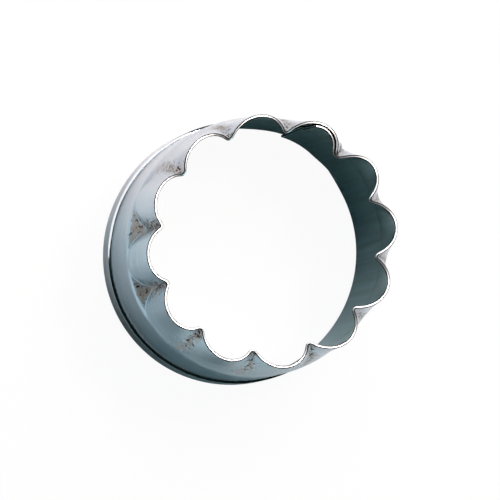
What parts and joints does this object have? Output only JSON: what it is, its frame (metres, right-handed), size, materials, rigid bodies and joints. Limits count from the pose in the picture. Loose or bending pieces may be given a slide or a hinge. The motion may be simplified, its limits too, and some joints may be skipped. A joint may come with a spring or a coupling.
{
  "type": "fluted pastry cutter",
  "caption": "Round steel cookie cutter: a thin strip ring with a fluted cutting edge, a spot-welded lap and a folded rim to press on",
  "frame": {"origin": "centre of the ring, on the plane that the folded rim stands on", "axes": "+Z along the ring's axis from the rim to the cutting edge, +Y towards the lap of the strip's ends, +X completes the right-handed frame"},
  "size_m": [0.0674, 0.0674, 0.04],
  "materials": {
    "band_steel": "bright rolled strip with fine streaks",
    "rim_steel": "rolled strip, folded",
    "weld_steel": "heat-tinted"
  },
  "bodies": {
    "root": {"fluted_band": "band_steel", "folded_rim": "rim_steel", "lap_weld_1": "weld_steel", "lap_weld_2": "weld_steel", "lap_weld_3": "weld_steel"}
  },
  "joints": []
}
